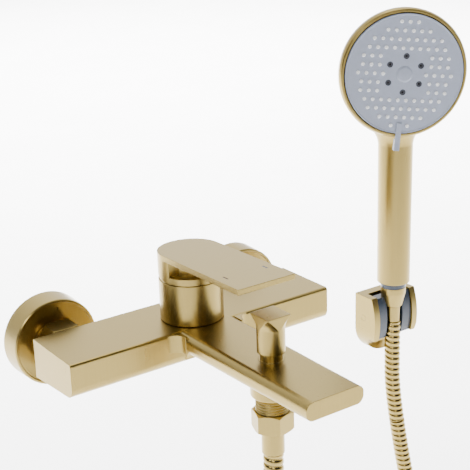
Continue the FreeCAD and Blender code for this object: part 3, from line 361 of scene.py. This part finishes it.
def hose_piece(name, route, material, node):
    """Wound strip hose: a round tube with one rounded rib per turn of the strip."""
    sizes = bpy.context.scene.mixer_hose
    points, total = resample(hose_line(name, route), sizes.pitch / TURN_POINTS)
    shape = bmesh.new()
    rings = []
    side = Vector((1, 0, 0))
    for index, point in enumerate(points):
        before, after = points[max(index - 1, 0)], points[min(index + 1, len(points) - 1)]
        along = (after - before).normalized()
        side = (side - along * side.dot(along)).normalized()
        other = along.cross(side)
        ring = []
        for step in range(HOSE_SIDES):
            angle = math.tau * step / HOSE_SIDES
            phase = (index / TURN_POINTS + step / HOSE_SIDES) % 1.0
            rise = math.sqrt(max(1.0 - (2.0 * phase - 1.0) ** 2, 0.0))
            radius = sizes.radius - sizes.groove * (1.0 - rise)
            if index in (0, len(points) - 1):
                radius = sizes.radius - sizes.groove
            ring.append(shape.verts.new(
                point + (side * math.cos(angle) + other * math.sin(angle)) * radius))
        rings.append(ring)
    skin(shape, rings)
    shape.faces.new(rings[0][::-1])
    shape.faces.new(rings[-1])
    tube = finish_mesh(shape, name, material)
    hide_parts(node)
    return tube, points, total


class MIXER_OT_materials(bpy.types.Operator):
    """Makes the finishes and gives them to the CAD nodes"""

    bl_idname = "mixer.materials"
    bl_label = "Finishes"

    def execute(self, context):
        look = context.scene.mixer_finish
        gold = brushed("BrushedGold", look.gold, look.gold_roughness)
        paint(gold, "gold", "body_casting", "union_nut_left", "union_nut_right", "wall_plate_left",
              "wall_plate_right", "cartridge_sleeve", "lever_handle", "diverter_knob", "diverter_bonnet",
              "aerator_housing", "outlet_nipple", "hose_nut", "hose_ferrule_lower", "handset_shell",
              "cone_nut", "hose_ferrule_upper", "holder_base", "holder_pivots")
        brass = brushed("TurnedBrass", look.brass, 0.25, (0.2, 0.2, 1), 700)
        paint(brass, "brass", "inlet_tail_left", "inlet_tail_right", "wall_union_left", "wall_union_right",
              "clamp_nut", "lever_stem", "diverter_rod")
        steel = brushed("Steel", look.steel, 0.3, (1, 0.2, 1), 700, 0.2 * MM)
        paint(steel, "steel", "pivot_pin", "lever_screw", "diverter_spring", "holder_plate",
              "holder_grub_screw", "face_screw")
        slate = moulded("Slate", look.slate, 0.22, 300, 0.02, 0.15)
        paint(slate, "slate", "holder_cradle", "handset_nipple")
        rubber = moulded("Rubber", look.rubber, 0.7)
        paint(rubber, "rubber", "union_washer_left", "union_washer_right", "cartridge_seal",
              "diverter_o_ring", "diverter_plug", "hose_washer_lower", "hose_washer_upper", "nozzle_mat")
        paint(moulded("Ceramic", look.ceramic, 0.2), "ceramic", "fixed_disc", "moving_disc")
        white = moulded("WhitePlastic", look.white, 0.45)
        paint(white, "white_plastic", "cartridge_housing", "cartridge_carrier", "aerator_insert",
              "distributor", "selector_disc", "water_tube")
        face = moulded("FaceGrey", look.face_grey, 0.42, 500, 0.03)
        paint(face, "face_grey", "spray_face", "face_cap", "selector_tab")
        paint(moulded("DarkGrey", look.dark, 0.5), "dark_grey", "massage_jets")
        paint(moulded("HotMark", look.hot, 0.7), "hot_red", "hot_mark")
        paint(moulded("ColdMark", look.cold, 0.7), "cold_blue", "cold_mark")
        moulded("Nozzle", look.nozzle, 0.5)
        brushed("HoseGold", look.gold, 0.24, (1, 1, 1), 500, 0)
        return {"FINISHED"}


class MIXER_OT_hoses(bpy.types.Operator):
    """Makes the wound shower hose in two runs that meet below the holder"""

    bl_idname = "mixer.hoses"
    bl_label = "Shower hose"

    def execute(self, context):
        metal = found_material("HoseGold")
        hose, points, total = hose_piece("ShowerHose", HOSE_MM, metal, "hose")
        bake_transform(hose)
        top, points, total = hose_piece("ShowerHoseTop", HOSE_TOP_MM, metal, "hose_top")
        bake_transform(top)
        return {"FINISHED"}


class MIXER_OT_stage(bpy.types.Operator):
    """Sets up the camera, soft studio light and a plain pale floor"""

    bl_idname = "mixer.stage"
    bl_label = "Stage"

    def execute(self, context):
        view = context.scene.mixer_stage
        data = bpy.data.cameras.new("Camera")
        data.lens = view.lens
        data.sensor_width = SENSOR_WIDTH
        data.clip_end = VIEW_DEPTH
        camera = link(data, "Camera")
        turn = (Matrix.Rotation(view.azimuth, 4, "Z")
                @ Matrix.Rotation(math.radians(90) - view.elevation, 4, "X")
                @ Matrix.Rotation(view.roll, 4, "Z"))
        camera.matrix_world = Matrix.Translation(CAMERA_PLACE) @ turn
        context.scene.camera = camera

        shape = bmesh.new()
        low = CAD_BOX[0][2] - FLOOR_GAP
        corners = ((-1, -1), (1, -1), (1, 1), (-1, 1))
        shape.faces.new([shape.verts.new((x * FLOOR_HALF, y * FLOOR_HALF, low)) for x, y in corners])
        floor = finish_mesh(shape, "Floor", moulded("FloorPaint", view.floor, 0.8, 5, 0.01), False)

        world = bpy.data.worlds.new("Studio")
        context.scene.world = world
        world.use_nodes = True
        tree = world.node_tree
        place = tree.nodes.new("ShaderNodeTexCoord")
        turned = tree.nodes.new("ShaderNodeVectorRotate")
        turned.rotation_type = "Z_AXIS"
        turned.inputs["Angle"].default_value = -view.azimuth
        tree.links.new(place.outputs["Generated"], turned.inputs["Vector"])
        split = tree.nodes.new("ShaderNodeSeparateXYZ")
        tree.links.new(turned.outputs["Vector"], split.inputs["Vector"])
        ramp = tree.nodes.new("ShaderNodeValToRGB")
        depth = tree.nodes.new("ShaderNodeMapRange")
        depth.inputs["From Min"].default_value = -1.0
        tree.links.new(split.outputs["Y"], depth.inputs["Value"])
        tree.links.new(depth.outputs["Result"], ramp.inputs["Fac"])
        front, behind = ramp.color_ramp.elements
        front.position, behind.position = DARK_END, BRIGHT_START
        front.color = DARK_ROOM
        behind.color = BRIGHT_ROOM
        back = tree.nodes["Background"]
        tree.links.new(ramp.outputs["Color"], back.inputs["Color"])
        back.inputs["Strength"].default_value = view.sky

        for name, spot, target, size, energy in (
                ("KeyLight", (-1.4, -0.7, 1.3), LIT_POINT, 0.6, view.key),
                ("TopLight", (0.5, 0.3, 1.9), LIT_POINT, 0.9, view.top),
                ("FillLight", (-0.9, -1.7, 0.9), LIT_POINT, 0.7, view.fill),
                ("BackdropLight", BACKDROP_PLACE, BACKDROP_POINT, 4.6, view.backdrop)):
            data = bpy.data.lights.new(name, "AREA")
            data.shape = "SQUARE"
            data.size = size
            data.energy = energy
            lamp = link(data, name)
            lamp.location = spot
            lamp.rotation_euler = (target - Vector(spot)).to_track_quat("-Z", "Y").to_euler()
            lamp.visible_camera = False
        # The backdrop light, the last one made, lights the floor alone.
        only_floor = bpy.data.collections.new("FloorOnly")
        only_floor.objects.link(floor)
        lamp.light_linking.receiver_collection = only_floor
        return {"FINISHED"}


# ---------------------------------------------------------------- spray face

def on_face(x, z, out=0.0):
    """Point on the spray face: right, up and out of it."""
    turn = Matrix.Rotation(HAND_TURN, 3, "Z") @ Matrix.Rotation(FACE_TURN, 3, "Y")
    return FACE_CENTRE + turn @ Vector((x, -out, z))


def cup(shape, at, profile):
    """Small turned shape on the spray face; the profile is (radius, out) from foot to tip."""
    angles = [math.tau * step / NOZZLE_SIDES for step in range(NOZZLE_SIDES)]
    rings = [[shape.verts.new(on_face(
        at[0] + radius * math.cos(angle), at[1] + radius * math.sin(angle), out)) for angle in angles]
        for radius, out in profile]
    skin(shape, rings)
    shape.faces.new(rings[-1])


def nozzle_places(column, row):
    """Right and up of each nozzle, row by row."""
    middle = len(NOZZLE_ROWS) // 2
    for line, count in enumerate(NOZZLE_ROWS):
        for number in range(count):
            if line not in SPLIT_ROWS:
                x = (number - (count - 1) / 2) * column
            elif number < count // 2:
                x = number * column - SPLIT_END[count]
            else:
                x = SPLIT_END[count] + (number - count + 1) * column
            yield x, (middle - line) * row


class MIXER_OT_nozzles(bpy.types.Operator):
    """Makes the soft spray nozzles in their staggered rows, and the rim round the face"""

    bl_idname = "mixer.nozzles"
    bl_label = "Nozzles"

    def execute(self, context):
        sizes = context.scene.mixer_spray
        shape = bmesh.new()
        foot, high = sizes.nozzle_radius, sizes.nozzle_height
        profile = (
            (foot, FACE_FRONT - 0.2 * MM), (foot, FACE_FRONT + 0.1 * MM),
            (foot * 0.8, FACE_FRONT + high * 0.8), (foot * 0.62, FACE_FRONT + high),
            (foot * 0.4, FACE_FRONT + high * 0.95), (foot * 0.3, FACE_FRONT + high * 0.3))
        for at in nozzle_places(sizes.column, sizes.row):
            cup(shape, at, profile)
        nozzles = finish_mesh(shape, "SprayNozzles", found_material("Nozzle"))
        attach(nozzles, "spray")

        shape = bmesh.new()
        rings = []
        for step in range(RIM_STEPS):
            angle = math.tau * step / RIM_STEPS
            ring = []
            for part in range(RIM_SIDES):
                out = math.tau * part / RIM_SIDES
                reach = RIM_RADIUS + RIM_SECTION * math.cos(out)
                ring.append(shape.verts.new(on_face(
                    reach * math.cos(angle), reach * math.sin(angle),
                    FACE_FRONT + RIM_SECTION * RIM_DEPTH * math.sin(out))))
            rings.append(ring)
        skin(shape, rings + rings[:1])
        rim = finish_mesh(shape, "FaceRim", found_material("FaceGrey"))
        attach(rim, "spray")
        return {"FINISHED"}


OPERATORS = (MIXER_OT_stage, MIXER_OT_materials, MIXER_OT_hoses, MIXER_OT_nozzles)


class MIXER_PT_panel(bpy.types.Panel):
    """Lists the steps that build the looks"""

    bl_idname = "MIXER_PT_panel"
    bl_label = "Bath Mixer"
    bl_space_type = "VIEW_3D"
    bl_region_type = "UI"
    bl_category = "Bath Mixer"

    def draw(self, context):
        for operator in OPERATORS:
            self.layout.operator(operator.bl_idname)
        for group in ("mixer_finish", "mixer_hose", "mixer_spray", "mixer_stage"):
            settings = getattr(context.scene, group)
            box = self.layout.box()
            for name in settings.__annotations__:
                box.prop(settings, name)


GROUPS = (
    ("mixer_finish", MIXER_PG_finish), ("mixer_hose", MIXER_PG_hose),
    ("mixer_spray", MIXER_PG_spray), ("mixer_stage", MIXER_PG_stage))


def register():
    """Registers the settings, the operators and the panel."""
    for name, group in GROUPS:
        bpy.utils.register_class(group)
        setattr(bpy.types.Scene, name, bpy.props.PointerProperty(type=group))
    for operator in OPERATORS:
        bpy.utils.register_class(operator)
    bpy.utils.register_class(MIXER_PT_panel)


def unregister():
    """Takes everything out again."""
    bpy.utils.unregister_class(MIXER_PT_panel)
    for operator in reversed(OPERATORS):
        bpy.utils.unregister_class(operator)
    for name, group in reversed(GROUPS):
        delattr(bpy.types.Scene, name)
        bpy.utils.unregister_class(group)


def main():
    """Builds everything in order."""
    register()
    for operator in OPERATORS:
        area, name = operator.bl_idname.split(".")
        getattr(getattr(bpy.ops, area), name)()


if __name__ == "__main__":
    main()
